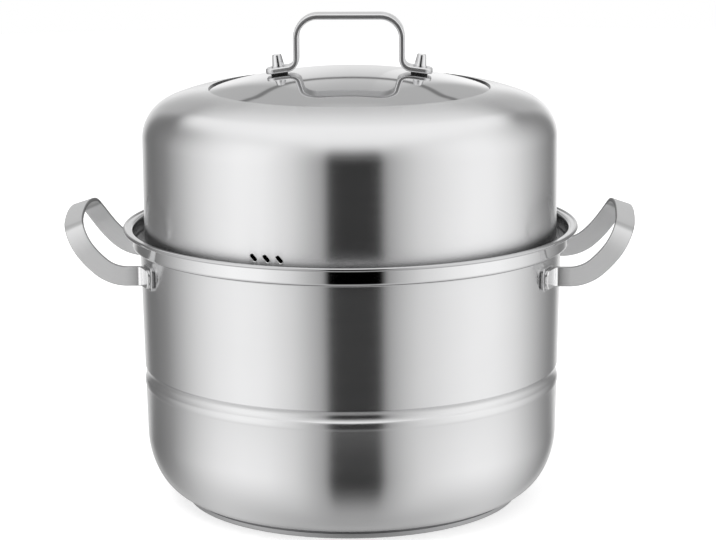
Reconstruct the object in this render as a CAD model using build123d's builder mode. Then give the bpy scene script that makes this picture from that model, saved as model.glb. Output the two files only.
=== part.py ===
"""Stainless steamer pot with a tall domed lid, two side handles and a lift-out steamer tray.

Frame: millimetres, Z up, origin on the floor under the middle of the base.
The side handles lie along X, and the steam slots of the lid face the front, which is -Y.
"""
import os
from math import acos, asin, cos, degrees, radians, sin, sqrt, tan

from build123d import *

os.makedirs("parts", exist_ok=True)

# Pot body, from the base up to the stepped mouth
pot_sheet = 1.0
mouth_height = 199.5
wall_top_radius = 151.2
wall_taper_angle = 1.15
corner_run = 32.4
corner_rise = 46.2
base_height = 4.6
step_drop = 13.9
step_width = 5.8
step_lower_rounding = 1.6
step_upper_rounding = 2.4
band_top_rounding = 1.6
lip_reach = 6.3
lip_roll_radius = 1.3

# Pressed bead at mid height, which carries the tray inside
bead_height = 94.5
bead_half_width = 4.3
bead_depth = 2.0
bead_swell_width = 6.0
bead_swell_depth = 0.5

# Sandwich base
cap_overlap = 4.9
cap_sheet = 0.7
cap_edge_rounding = 1.2
core_clearance = 0.3
cap_ring_depth = 0.3
cap_ring_width = 1.6
cap_ring_spacing = 20.0
cap_ring_count = 4

# Lid shell, which stands on the step inside the mouth
lid_sheet = 0.9
lid_inset = 3.1
lid_foot_reach = 6.8
lid_foot_rounding = 0.4
lid_clearance = 0.3
shoulder_rise = 77.4
shoulder_radius = 28.7
shoulder_turn = 68.9
crown_radius = 127.0
disc_inset = 47.6
disc_sink = 1.1
disc_rise = 14.3

# Steam slots in the lid wall
slot_rise = 15.4
slot_length = 5.8
slot_width = 2.7
slot_tilt = 48.0
slot_angle = 20.1
slot_step_angle = 3.65
slot_count = 3

# Lid handle, a flat strap
strap_thickness = 4.0
strap_width = 18.0
strap_edge_rounding = 0.8
handle_rise = 39.6
handle_leg_offset = 37.6
handle_top_bend = 15.4
handle_foot_bend = 7.0
handle_foot_tail = 9.2
handle_foot_rounding = 6.0

# Lid fasteners, along the dome's normal at each foot
bolt_reach = 12.1
bolt_radius = 2.5
bolt_head_radius = 4.6
bolt_head_height = 2.6
bolt_head_rounding = 1.0
bolt_play = 0.15
thread_fit = 0.02
spacer_radius = 6.0
spacer_thickness = 1.2
washer_radius = 4.9
washer_thickness = 0.8
seal_radius = 7.0
seal_thickness = 1.5
seal_gap = 0.1
nut_radius = 4.3
nut_top_radius = 3.1
nut_height = 8.8
nut_rounding = 1.1
nut_flats = 8.0
nut_sides = 6
nut_bore_depth = 6.4
thread_gap = 0.5

# Side handles, flat straps bent to a U
grip_thickness = 2.8
grip_breadth = 14.0
grip_leg_offset = 52.8
grip_drop = 28.8
grip_straight = 4.3
grip_lower_bend = 29.2
grip_lower_turn = 40.5
grip_upper_bend = 71.0
grip_upper_turn = 33.5
grip_corner_bend = 22.8
grip_bar_bow = 8.7
grip_edge_rounding = 0.9
grip_foot_reach = 7.0
grip_foot_bend = 4.6
grip_foot_tail = 9.5
grip_foot_rounding = 5.5

# Mounting pads and plug welds of the side handles
pad_thickness = 1.6
pad_width = 20.5
pad_height = 17.0
pad_rounding = 4.0
pad_edge_rounding = 0.6
weld_radius = 1.7
weld_fit = 0.03
weld_tail = 4.0
weld_half_pitch = 2.9
weld_sink = 0.4
weld_root_gap = 0.08

# Steamer tray
tray_sheet = 1.0
tray_side_play = 0.8
tray_clearance = 0.3
tray_rim_width = 9.0
tray_slope_width = 4.0
tray_slope_rise = 4.0
tray_hole_radius = 4.0
tray_hole_spacing = 21.0
tray_hole_rings = 5
tray_hole_sides = 6
tray_grip_radius = 11.0
tray_grip_margin = 5.6

# How far a cut runs past its piece, and how near two edge lengths count as equal
overrun = 5.0
edge_tolerance = 0.08

# Sizes worked out from the ones above
step_height = mouth_height - step_drop
corner_top = base_height + corner_rise
wall_low_radius = wall_top_radius - (step_height - corner_top) * tan(radians(wall_taper_angle))
band_radius = wall_top_radius + step_width
lip_radius = band_radius + lip_reach
lip_centre_radius = lip_radius - lip_roll_radius
bead_low = bead_height - bead_half_width
bead_high = bead_height + bead_half_width
swell_low = bead_low - bead_swell_width
band_top = mouth_height - lip_roll_radius - pot_sheet / 2
cap_radius = wall_low_radius - corner_run + cap_overlap


def wall_radius(height):
    """Outer radius of the slightly tapered pot wall at a height."""
    return wall_top_radius - (step_height - height) * tan(radians(wall_taper_angle))


def pot_outline(inset):
    """Half outline of the pot from the axis to the lip, moved inwards by a sheet's thickness."""
    floor = base_height + inset
    Line((0, floor), (wall_low_radius - corner_run, floor))
    EllipticalCenterArc(
        (wall_low_radius - corner_run, corner_top),
        corner_run - inset,
        corner_rise - inset,
        start_angle=270,
        arc_size=90,
    )
    Line((wall_low_radius - inset, corner_top), (wall_radius(swell_low) - inset, swell_low))
    ThreePointArc(
        (wall_radius(swell_low) - inset, swell_low),
        (wall_radius(swell_low) + bead_swell_depth - inset, (swell_low + bead_low) / 2),
        (wall_radius(bead_low) - inset, bead_low),
    )
    ThreePointArc(
        (wall_radius(bead_low) - inset, bead_low),
        (wall_radius(bead_height) - bead_depth - inset, bead_height),
        (wall_radius(bead_high) - inset, bead_high),
    )
    FilletPolyline(
        (wall_radius(bead_high) - inset, bead_high),
        (wall_top_radius - inset, step_height + inset),
        (band_radius - inset, step_height + inset),
        (band_radius - inset, band_top + inset),
        (lip_centre_radius, band_top + inset),
        radius=(
            step_lower_rounding + inset,
            step_upper_rounding - inset,
            band_top_rounding + inset,
        ),
    )


with BuildPart() as pot_body:
    with BuildSketch(Plane.XZ):
        with BuildLine():
            pot_outline(0)
            Polyline(
                (lip_centre_radius, band_top),
                (lip_centre_radius, mouth_height + overrun),
                (0, mouth_height + overrun),
                (0, base_height),
            )
        make_face()
    revolve(axis=Axis.Z)
    with BuildSketch(Plane.XZ):
        with BuildLine():
            pot_outline(pot_sheet)
            Polyline(
                (lip_centre_radius, band_top + pot_sheet),
                (lip_radius + overrun, band_top + pot_sheet),
                (lip_radius + overrun, mouth_height + overrun * 2),
                (0, mouth_height + overrun * 2),
                (0, base_height + pot_sheet),
            )
        make_face()
    revolve(axis=Axis.Z, mode=Mode.SUBTRACT)
    with BuildSketch(Plane.XZ):
        with Locations((lip_centre_radius, mouth_height - lip_roll_radius)):
            Circle(lip_roll_radius)
    revolve(axis=Axis.Z)
pot_body.part.label = "pot_body"
export_step(pot_body.part, "parts/pot_body.step")

with BuildPart() as base_cap:
    with BuildSketch(Plane.XZ):
        with BuildLine():
            FilletPolyline(
                (0, 0),
                (cap_radius, 0),
                (cap_radius, base_height),
                radius=cap_edge_rounding,
            )
            Polyline(
                (cap_radius, base_height),
                (cap_radius - cap_sheet, base_height),
                (cap_radius - cap_sheet, cap_sheet),
                (0, cap_sheet),
                (0, 0),
            )
        make_face()
    revolve(axis=Axis.Z)
    with BuildSketch(Plane.XZ):
        for turn in range(cap_ring_count):
            with Locations(((turn + 1) * cap_ring_spacing, 0)):
                Rectangle(cap_ring_width, cap_ring_depth * 2)
    revolve(axis=Axis.Z, mode=Mode.SUBTRACT)
base_cap.part.label = "base_cap"
export_step(base_cap.part, "parts/base_cap.step")

with BuildPart() as base_core_disc:
    with BuildSketch(Plane.XY.offset(cap_sheet)):
        Circle(cap_radius - cap_sheet - core_clearance)
    extrude(amount=base_height - cap_sheet)
base_core_disc.part.label = "base_core_disc"
export_step(base_core_disc.part, "parts/base_core_disc.step")

# Steamer tray, which lies on the inside of the bead
tray_radius = wall_radius(bead_high) - pot_sheet - tray_side_play
bead_arc_radius = (bead_half_width**2 + bead_depth**2) / (2 * bead_depth)
bead_arc_centre = wall_radius(bead_height) - pot_sheet - bead_depth + bead_arc_radius
tray_seat = bead_height + sqrt(bead_arc_radius**2 - (bead_arc_centre - tray_radius) ** 2)
tray_base = tray_seat + tray_clearance
tray_deck_radius = tray_radius - tray_rim_width - tray_slope_width
tray_grip_offset = tray_deck_radius - tray_grip_margin - tray_grip_radius

with BuildPart() as steamer_tray:
    with BuildSketch(Plane.XZ):
        with BuildLine():
            Polyline(
                (0, tray_base + tray_slope_rise),
                (tray_deck_radius, tray_base + tray_slope_rise),
                (tray_radius - tray_rim_width, tray_base),
                (tray_radius, tray_base),
                (tray_radius, tray_base + tray_sheet),
                (tray_radius - tray_rim_width, tray_base + tray_sheet),
                (tray_deck_radius, tray_base + tray_slope_rise + tray_sheet),
                (0, tray_base + tray_slope_rise + tray_sheet),
                close=True,
            )
        make_face()
    revolve(axis=Axis.Z)
    with BuildSketch(Plane.XY.offset(tray_base)):
        Circle(tray_hole_radius)
        for ring in range(1, tray_hole_rings + 1):
            ring_holes = tray_hole_sides * ring
            with PolarLocations(ring * tray_hole_spacing, ring_holes, start_angle=180 / ring_holes):
                Circle(tray_hole_radius)
        with Locations((-tray_grip_offset, 0), (tray_grip_offset, 0)):
            Circle(tray_grip_radius)
    extrude(amount=tray_slope_rise + tray_sheet + overrun, mode=Mode.SUBTRACT)
steamer_tray.part.label = "steamer_tray"
export_step(steamer_tray.part, "parts/steamer_tray.step")

# Lid shell
lid_radius = wall_top_radius - lid_inset
lid_foot_radius = lid_radius + lid_foot_reach
lid_foot_height = step_height + pot_sheet + lid_clearance
shoulder_height = step_height + shoulder_rise
ring_radius = lid_radius - disc_inset
crown_centre_radius = (
    lid_radius - shoulder_radius + (shoulder_radius - crown_radius) * cos(radians(shoulder_turn))
)
crown_centre_height = shoulder_height + (shoulder_radius - crown_radius) * sin(
    radians(shoulder_turn)
)
ring_height = crown_centre_height + sqrt(
    crown_radius**2 - (ring_radius - crown_centre_radius) ** 2
)
disc_radius = ring_radius - lid_sheet
disc_edge_height = ring_height - disc_sink
dome_radius = (disc_radius**2 + disc_rise**2) / (2 * disc_rise)
dome_top = disc_edge_height + disc_rise
dome_centre = dome_top - dome_radius
bolt_offset = handle_leg_offset + bolt_reach
bolt_tilt = asin(bolt_offset / dome_radius)


def dome_height(radius, inset):
    """Height of the centre disc's outer or inner face at a radius."""
    return dome_centre + sqrt((dome_radius - inset) ** 2 - radius**2)


def lid_outline(inset, foot, edge_radius):
    """Half outline of the lid from its foot over the shoulder to the axis."""
    wall = Line((lid_radius - inset, foot), (lid_radius - inset, shoulder_height))
    shoulder = JernArc(wall @ 1, wall % 1, shoulder_radius - inset, shoulder_turn)
    full_turn = degrees(acos((ring_radius - crown_centre_radius) / (crown_radius - inset)))
    crown = JernArc(shoulder @ 1, shoulder % 1, crown_radius - inset, full_turn - shoulder_turn)
    Line(crown @ 1, (edge_radius, dome_height(edge_radius, inset)))
    ThreePointArc(
        (edge_radius, dome_height(edge_radius, inset)),
        (edge_radius / 2, dome_height(edge_radius / 2, inset)),
        (0, dome_centre + dome_radius - inset),
    )
    Polyline((0, dome_centre + dome_radius - inset), (0, foot), (lid_radius - inset, foot))


def on_dome(side, lift):
    """Plane square to a lid bolt, lifted from the dome's face along the bolt."""
    return Plane(
        origin=(
            side * (bolt_offset + lift * sin(bolt_tilt)),
            0,
            dome_height(bolt_offset, 0) + lift * cos(bolt_tilt),
        ),
        x_dir=(cos(bolt_tilt), 0, -side * sin(bolt_tilt)),
        z_dir=(side * sin(bolt_tilt), 0, cos(bolt_tilt)),
    )


with BuildPart() as lid_shell:
    with BuildSketch(Plane.XZ):
        with BuildLine():
            lid_outline(0, lid_foot_height, disc_radius)
        make_face()
    revolve(axis=Axis.Z)
    with BuildSketch(Plane.XZ):
        with BuildLine():
            lid_outline(lid_sheet, lid_foot_height - overrun, ring_radius)
        make_face()
    revolve(axis=Axis.Z, mode=Mode.SUBTRACT)
    with BuildSketch(Plane.XZ):
        with BuildLine():
            Polyline(
                (lid_radius - lid_sheet, lid_foot_height),
                (lid_foot_radius, lid_foot_height),
                (lid_foot_radius, lid_foot_height + lid_sheet),
                (lid_radius - lid_sheet, lid_foot_height + lid_sheet),
                close=True,
            )
        make_face()
        fillet(vertices().group_by(Axis.X)[-1], lid_foot_rounding)
    revolve(axis=Axis.Z)
    for place in range(slot_count):
        around = radians(-90 - slot_angle + (place - (slot_count - 1) / 2) * slot_step_angle)
        wall_face = Plane(
            origin=(lid_radius * cos(around), lid_radius * sin(around), step_height + slot_rise),
            x_dir=(-sin(around), cos(around), 0),
            z_dir=(cos(around), sin(around), 0),
        )
        with BuildSketch(wall_face):
            SlotOverall(slot_length, slot_width, rotation=-slot_tilt)
        extrude(amount=overrun, both=True, mode=Mode.SUBTRACT)
    for side in (-1, 1):
        with BuildSketch(on_dome(side, 0)):
            Circle(bolt_radius + bolt_play)
        extrude(amount=overrun, both=True, mode=Mode.SUBTRACT)
lid_shell.part.label = "lid_shell"
export_step(lid_shell.part, "parts/lid_shell.step")

# Lid handle
foot_mid = spacer_thickness + strap_thickness / 2
foot_centre = on_dome(1, foot_mid).origin
foot_end = (
    foot_centre.X + handle_foot_tail * cos(bolt_tilt),
    foot_centre.Z - handle_foot_tail * sin(bolt_tilt),
)
foot_corner = (
    handle_leg_offset,
    foot_centre.Z + (foot_centre.X - handle_leg_offset) * tan(bolt_tilt),
)
handle_top_mid = dome_top + handle_rise - strap_thickness / 2

with BuildPart() as lid_handle:
    with BuildSketch(Plane.XZ):
        with BuildLine():
            FilletPolyline(
                (-foot_end[0], foot_end[1]),
                (-foot_corner[0], foot_corner[1]),
                (-handle_leg_offset, handle_top_mid),
                (handle_leg_offset, handle_top_mid),
                foot_corner,
                foot_end,
                radius=(handle_foot_bend, handle_top_bend, handle_top_bend, handle_foot_bend),
            )
        trace(line_width=strap_thickness)
    extrude(amount=strap_width / 2, both=True)
    foot_edges = lid_handle.edges().filter_by(
        lambda edge: abs(edge.length - strap_thickness) < edge_tolerance
    )
    fillet(foot_edges.filter_by(lambda edge: abs(edge.center().X) > bolt_offset), handle_foot_rounding)
    for side in (-1, 1):
        with BuildSketch(on_dome(side, foot_mid)):
            Circle(bolt_radius + bolt_play)
        extrude(amount=strap_thickness, both=True, mode=Mode.SUBTRACT)
    long_edges = lid_handle.edges().filter_by(
        lambda edge: edge.geom_type != GeomType.CIRCLE or edge.radius > handle_foot_bend / 2
    )
    fillet(long_edges.filter_by(lambda edge: abs(edge.center().Y) > bolt_radius), strap_edge_rounding)
lid_handle.part.label = "lid_handle"
export_step(lid_handle.part, "parts/lid_handle.step")

# Lid fasteners, one stack on each side
foot_top = spacer_thickness + strap_thickness
seal_top = -lid_sheet - seal_gap
nut_base = foot_top + washer_thickness
bolt_end = nut_base + nut_bore_depth - thread_gap

for side, name in ((-1, "left"), (1, "right")):
    with BuildPart() as lid_spacer:
        with BuildSketch(on_dome(side, 0)):
            Circle(spacer_radius)
            Circle(bolt_radius + bolt_play, mode=Mode.SUBTRACT)
        extrude(amount=spacer_thickness)
    lid_spacer.part.label = "lid_spacer_" + name
    export_step(lid_spacer.part, "parts/lid_spacer_" + name + ".step")

    with BuildPart() as lid_washer:
        with BuildSketch(on_dome(side, foot_top)):
            Circle(washer_radius)
            Circle(bolt_radius + bolt_play, mode=Mode.SUBTRACT)
        extrude(amount=washer_thickness)
    lid_washer.part.label = "lid_washer_" + name
    export_step(lid_washer.part, "parts/lid_washer_" + name + ".step")

    with BuildPart() as lid_seal:
        with BuildSketch(on_dome(side, seal_top)):
            Circle(seal_radius)
            Circle(bolt_radius + bolt_play, mode=Mode.SUBTRACT)
        extrude(amount=-seal_thickness)
    lid_seal.part.label = "lid_seal_" + name
    export_step(lid_seal.part, "parts/lid_seal_" + name + ".step")

    with BuildPart() as lid_bolt:
        with BuildSketch(on_dome(side, seal_top - seal_thickness)):
            Circle(bolt_head_radius)
        extrude(amount=-bolt_head_height)
        fillet(lid_bolt.faces().sort_by(Axis.Z)[0].edges(), bolt_head_rounding)
        with BuildSketch(on_dome(side, seal_top - seal_thickness)):
            Circle(bolt_radius)
        extrude(amount=bolt_end - seal_top + seal_thickness)
    lid_bolt.part.label = "lid_bolt_" + name
    export_step(lid_bolt.part, "parts/lid_bolt_" + name + ".step")

    with BuildPart() as lid_nut:
        with BuildSketch(on_dome(side, nut_base)):
            Circle(nut_radius)
        with BuildSketch(on_dome(side, nut_base + nut_height)):
            Circle(nut_top_radius)
        loft()
        fillet(lid_nut.faces().sort_by(Axis.Z)[-1].edges(), nut_rounding)
        with BuildSketch(on_dome(side, nut_base)):
            RegularPolygon(nut_flats / 2, nut_sides, major_radius=False)
        extrude(amount=nut_height, mode=Mode.INTERSECT)
        with BuildSketch(on_dome(side, nut_base)):
            Circle(bolt_radius + thread_fit)
        extrude(amount=nut_bore_depth, mode=Mode.SUBTRACT)
    lid_nut.part.label = "lid_nut_" + name
    export_step(lid_nut.part, "parts/lid_nut_" + name + ".step")

# Side handle on the right; the left one is its mirror image
grip_height = mouth_height - grip_drop
grip_straight_end = wall_radius(grip_height) + grip_straight
pad_face = wall_radius(grip_height) + pad_thickness
foot_layer = pad_face + grip_thickness / 2
foot_around = asin((grip_leg_offset + grip_foot_reach) / foot_layer)
leg_entry = -grip_foot_reach / cos(foot_around)
grip_final_turn = radians(grip_lower_turn + grip_upper_turn)
grip_bar_radius = (grip_leg_offset**2 + grip_bar_bow**2) / (2 * grip_bar_bow)
grip_bar_turn = degrees(
    asin((grip_leg_offset - grip_corner_bend) / (grip_bar_radius - grip_corner_bend))
)


def at_foot(distance, along):
    """Point in plan on the front right foot: its distance from the axis, and along the wall."""
    return (
        distance * cos(foot_around) - along * sin(foot_around),
        -distance * sin(foot_around) - along * cos(foot_around),
    )


def foot_plane(distance, along, height):
    """Plane square to the wall at the front right foot."""
    place = at_foot(distance, along)
    return Plane(
        origin=(place[0], place[1], height),
        x_dir=(-sin(foot_around), -cos(foot_around), 0),
        z_dir=(cos(foot_around), -sin(foot_around), 0),
    )


with BuildPart() as side_handle_right:
    with BuildSketch(Plane.XZ):
        with BuildLine():
            leg = Line((wall_radius(grip_height), grip_height), (grip_straight_end, grip_height))
            lower = JernArc(leg @ 1, leg % 1, grip_lower_bend, grip_lower_turn)
            upper = JernArc(lower @ 1, lower % 1, grip_upper_bend, grip_upper_turn)
            grip_top = upper @ 1
            Line(grip_top, grip_top + (upper % 1) * overrun)
        trace(line_width=grip_breadth)
    extrude(amount=grip_leg_offset + grip_thickness, both=True)
    loop_plane = Plane(
        origin=(grip_top.X, 0, grip_top.Y),
        x_dir=(0, 1, 0),
        z_dir=(sin(grip_final_turn), 0, -cos(grip_final_turn)),
    )
    loop_depth = grip_upper_bend + grip_breadth * 2
    with BuildSketch(loop_plane):
        with BuildLine():
            bar = JernArc((0, -grip_thickness / 2), (1, 0), grip_bar_radius, -grip_bar_turn)
            corner = JernArc(bar @ 1, bar % 1, grip_corner_bend, grip_bar_turn - 90)
            Line(corner @ 1, (grip_leg_offset, -loop_depth))
        trace(line_width=grip_thickness)
        mirror(about=Plane.YZ)
    extrude(amount=loop_depth, both=True, mode=Mode.INTERSECT)
    with BuildSketch(Plane.XY.offset(grip_height - grip_breadth / 2)):
        with BuildLine():
            FilletPolyline(
                (grip_straight_end, -grip_leg_offset),
                at_foot(foot_layer, leg_entry),
                at_foot(foot_layer, grip_foot_tail),
                radius=grip_foot_bend,
            )
        trace(line_width=grip_thickness)
        mirror(about=Plane.XZ)
    extrude(amount=grip_breadth)
    tongue_edges = side_handle_right.edges().filter_by(
        lambda edge: abs(edge.length - grip_thickness) < edge_tolerance
        and abs(edge.center().Y) > grip_leg_offset + grip_thickness
    )
    fillet(tongue_edges, grip_foot_rounding)
    long_edges = side_handle_right.edges().filter_by(
        lambda edge: edge.length > grip_thickness + edge_tolerance
    )
    fillet(long_edges, grip_edge_rounding)
    for height in (grip_height - weld_half_pitch, grip_height + weld_half_pitch):
        with BuildSketch(foot_plane(pad_face, weld_tail, height)):
            Circle(weld_radius + weld_fit)
        hole = extrude(amount=grip_thickness + overrun, mode=Mode.SUBTRACT)
        mirror(hole, about=Plane.XZ, mode=Mode.SUBTRACT)

with BuildPart() as handle_pads_right:
    with BuildSketch(foot_plane(pad_face, 0, grip_height)):
        RectangleRounded(pad_width, pad_height, pad_rounding)
    extrude(amount=-pad_thickness - overrun)
    fillet(handle_pads_right.faces().sort_by(Axis.X)[-1].edges(), pad_edge_rounding)
    for height in (grip_height - weld_half_pitch, grip_height + weld_half_pitch):
        with BuildSketch(foot_plane(pad_face, weld_tail, height)):
            Circle(weld_radius + weld_fit)
        extrude(amount=overrun * 2, both=True, mode=Mode.SUBTRACT)
    with BuildSketch(Plane.XZ):
        with BuildLine():
            Polyline(
                (0, grip_height - pad_height),
                (wall_radius(grip_height - pad_height), grip_height - pad_height),
                (wall_radius(grip_height + pad_height), grip_height + pad_height),
                (0, grip_height + pad_height),
                close=True,
            )
        make_face()
    revolve(axis=Axis.Z, mode=Mode.SUBTRACT)
    mirror(about=Plane.XZ)

with BuildPart() as handle_welds_right:
    for height in (grip_height - weld_half_pitch, grip_height + weld_half_pitch):
        with BuildSketch(foot_plane(pad_face - pad_thickness + weld_root_gap, weld_tail, height)):
            Circle(weld_radius)
        extrude(amount=pad_thickness - weld_root_gap + grip_thickness - weld_sink)
    mirror(about=Plane.XZ)

right_nodes = (
    (side_handle_right, "side_handle_"),
    (handle_pads_right, "handle_pads_"),
    (handle_welds_right, "handle_welds_"),
)
for node, name in right_nodes:
    node.part.label = name + "right"
    export_step(node.part, "parts/" + name + "right.step")
    with BuildPart() as left_node:
        mirror(node.part, about=Plane.YZ)
    left_node.part.label = name + "left"
    export_step(left_node.part, "parts/" + name + "left.step")
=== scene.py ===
# %% [markdown]
# # A stainless steel steamer pot
#
# The pot is almost all turned sheet steel: a deep body with a stepped mouth, and a tall
# domed lid that stands on the step. Two kinds of finish make its look. The walls are
# brushed round the axis, which smears every reflection upwards and downwards, and the
# rim, the bead and the disc on top of the lid are polished like a mirror.
#
# Z points up, the side handles lie along X, and the front, with the steam slots, faces
# -Y. Blender works in metres. The outlines are drawn in millimetres, as on a drawing, and
# are divided by 1000 where the points are made.

from math import acos, asin, atan2, copysign, cos, degrees, pi, radians, sin, sqrt, tan

import bpy
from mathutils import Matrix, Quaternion, Vector


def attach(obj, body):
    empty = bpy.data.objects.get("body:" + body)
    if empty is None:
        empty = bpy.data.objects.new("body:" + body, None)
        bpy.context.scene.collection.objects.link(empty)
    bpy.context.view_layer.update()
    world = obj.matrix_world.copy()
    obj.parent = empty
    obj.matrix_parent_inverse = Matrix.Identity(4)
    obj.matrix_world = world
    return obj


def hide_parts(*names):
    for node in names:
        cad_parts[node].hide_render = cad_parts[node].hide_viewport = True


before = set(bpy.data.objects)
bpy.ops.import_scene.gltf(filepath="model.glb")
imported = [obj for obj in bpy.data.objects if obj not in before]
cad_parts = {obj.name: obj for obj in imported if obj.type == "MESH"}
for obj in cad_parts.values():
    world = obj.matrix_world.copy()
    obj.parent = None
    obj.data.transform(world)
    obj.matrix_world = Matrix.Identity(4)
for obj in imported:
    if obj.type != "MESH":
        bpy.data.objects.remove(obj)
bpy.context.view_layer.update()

# %% [markdown]
# ## The camera
#
# The photograph was taken from about 1.8 m away with a long lens, 12 degrees above the
# table. A long lens keeps the ellipses of the rim flat. The picture is 716 by 540, and
# the pot's axis lies 7.3 pixels left of its middle, so the lens is shifted a little
# rather than turned. The camera stands two degrees to the right of the pot's front, and
# the left handle lies a few pixels lower than the right one, which is a small roll.

# %% Place the camera
picture_width = 716
axis_column = 350.7
focal_pixels = 2488
camera_distance = 1.8
camera_elevation = radians(12.0)
camera_turn = 0.04
camera_roll = -0.007
aim_height = 0.1639

bpy.ops.object.select_all(action="DESELECT")
back = Vector((
    sin(camera_turn) * cos(camera_elevation),
    -cos(camera_turn) * cos(camera_elevation),
    sin(camera_elevation),
))
bpy.ops.object.camera_add(location=Vector((0, 0, aim_height)) + back * camera_distance)
camera = bpy.context.object
camera.rotation_mode = "QUATERNION"
looks_at_pot = (-back).to_track_quat("-Z", "Y")
camera.rotation_quaternion = looks_at_pot @ Quaternion((0, 0, 1), camera_roll)
camera.data.sensor_width = 36
camera.data.lens = focal_pixels * camera.data.sensor_width / picture_width
camera.data.shift_x = (picture_width / 2 - axis_column) / picture_width
bpy.context.scene.camera = camera
bpy.context.scene.view_settings.view_transform = "Standard"
print("camera lens", round(camera.data.lens, 1), "mm")

# %% [markdown]
# ## The studio
#
# Polished metal shows nothing but its surroundings, so the room is half of the material.
# The backdrop is white. To the left and right hang two large soft boxes, a third light
# covers the ceiling, and between the soft boxes the dark side of the room behind the
# camera makes the dark stripe down the middle of the pot. Two dark gaps at the rear
# corners draw a thin dark line inside each bright edge. Above the backdrop a dim gap
# stays open below the ceiling light: it makes the disc on the lid grey, and the seam in
# it draws the dark line on the disc.
#
# Real boxes and cards would do, but the world can hold the same room as a function of
# direction. One colour ramp says how bright the walls are round the horizon, and a
# second one how high the ceiling light begins. The camera itself sees plain white.

# %% Describe the room round the horizon
# Degrees clockwise from the camera's side, and how bright the room is there.
room_round = [
    (-180, 0.83), (-175, 1.00), (-168, 0.95), (-159, 0.62), (-150, 0.20), (-138, 0.19),
    (-122, 0.27), (-108, 0.53), (-95, 0.80), (-80, 1.03), (-64, 1.16), (-48, 1.12),
    (-32, 0.86), (-22, 0.58), (-14.5, 0.40), (-11.5, 0.0), (16, 0.0), (19.2, 0.37),
    (26, 0.57), (38, 0.83), (55, 1.03), (70, 1.13), (84, 1.12), (100, 0.96),
    (115, 0.69), (130, 0.42), (144, 0.24), (152, 0.28), (160, 0.75), (167, 1.10),
    (175, 1.08), (180, 0.83),
]
# Degrees round the horizon, and how many degrees up the ceiling light begins there.
ceiling_round = [
    (-180, 42), (-171, 41), (-162, 32), (-142, 31), (-127, 34), (-112, 42),
    (-82, 48), (-45, 50), (-20, 40), (20, 40), (45, 50), (82, 46),
    (112, 41), (127, 37), (142, 35.5), (162, 33), (171, 41), (180, 42),
]
ceiling_light = 1.12
# Over how many degrees the ceiling light begins, in front and at the rear.
ceiling_blur, rear_ceiling_blur = 15, 5
print("room stops", len(room_round), "and", len(ceiling_round))

# %% Describe the gap, the seam and the table
# Where round the pot the parts of the room fade in, as the cosine of the angle from the
# camera's side: 1 is in front of the pot, and -1 behind it.
rear_fade, behind_fade, seam_turn_fade = (-0.86, -0.97), (-0.990, -0.9985), (-0.985, -0.9995)
front_fade, strip_fade, blur_fade = (0.70, 0.95), (-0.95, -0.98), (-0.5, -0.8)
# The gap below the ceiling light: how bright it is, and how many degrees up it starts and
# over how many it fades in. Sides, rear corners, and straight behind the pot.
side_gap_light, front_gap_light, rear_gap_light = 0.75, 0.0, 0.50
side_gap_start, rear_gap_start, behind_gap_start = 34, -2, 4
rear_gap_fade, behind_gap_fade = 16, 30
# The seam's height at the rear corners and straight behind, its width and its light.
corner_seam, behind_seam, seam_width, seam_light = 26.5, 19.0, (1.5, 0.4), 0.20
# The table far away, close by and on the camera's side, and where it ends.
table_far, table_near, table_front, near_fade = 0.75, 0.42, 0.47, (-40, -90)
rear_table_edge, front_table_edge, table_blur = -16, -28, -36
# The dark strip at the table's rear end: where it fades in from above and from below.
strip_above, strip_below, strip_light = (-17, -22), (-60, -48), 0.25


# %% Join nodes with short calls
def add_math(tree, operation, first, second=None, clamp=False):
    """Adds a math node and returns its output."""
    node = tree.nodes.new("ShaderNodeMath")
    node.operation = operation
    node.use_clamp = clamp
    for place, value in enumerate((first, second)):
        if isinstance(value, (int, float)):
            node.inputs[place].default_value = value
        elif value is not None:
            tree.links.new(value, node.inputs[place])
    return node.outputs[0]


def add_fade(tree, value, low, high):
    """Adds a smooth step from 0 at low to 1 at high and returns its output."""
    node = tree.nodes.new("ShaderNodeMapRange")
    node.interpolation_type = "SMOOTHSTEP"
    tree.links.new(value, node.inputs["Value"])
    node.inputs["From Min"].default_value = low
    node.inputs["From Max"].default_value = high
    return node.outputs["Result"]


def add_mix(tree, amount, first, second):
    """Mixes two values or outputs by an amount and returns the output."""
    node = tree.nodes.new("ShaderNodeMix")
    tree.links.new(amount, node.inputs["Factor"])
    for name, value in (("A", first), ("B", second)):
        if isinstance(value, (int, float)):
            node.inputs[name].default_value = value
        else:
            tree.links.new(value, node.inputs[name])
    return node.outputs["Result"]


def add_ramp(tree, place, stops):
    """Adds a ramp over 0 to 1 from a list of angles and values and returns its output."""
    node = tree.nodes.new("ShaderNodeValToRGB")
    tree.links.new(place, node.inputs["Fac"])
    elements = node.color_ramp.elements
    elements[0].position, elements[1].position = 0, 1
    for angle, value in stops[1:-1]:
        elements.new((angle + 180) / 360)
    for element, (angle, value) in zip(elements, stops):
        element.color = (value, value, value, 1)
    return node.outputs["Color"]


# %% Build the room as a world
world = bpy.data.worlds.new("studio")
bpy.context.scene.world = world
world.use_nodes = True
room = world.node_tree
room.nodes.clear()

direction = room.nodes.new("ShaderNodeTexCoord").outputs["Generated"]
split = room.nodes.new("ShaderNodeSeparateXYZ")
room.links.new(direction, split.inputs[0])
across, along, upward = split.outputs
around = add_math(room, "ARCTAN2", across, add_math(room, "MULTIPLY", along, -1))
around = add_math(room, "ADD", around, -camera_turn)
height = add_math(room, "MULTIPLY", add_math(room, "ARCSINE", upward), 180 / pi)
turn = add_math(room, "ADD", add_math(room, "MULTIPLY", around, 1 / (2 * pi)), 0.5)

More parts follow.
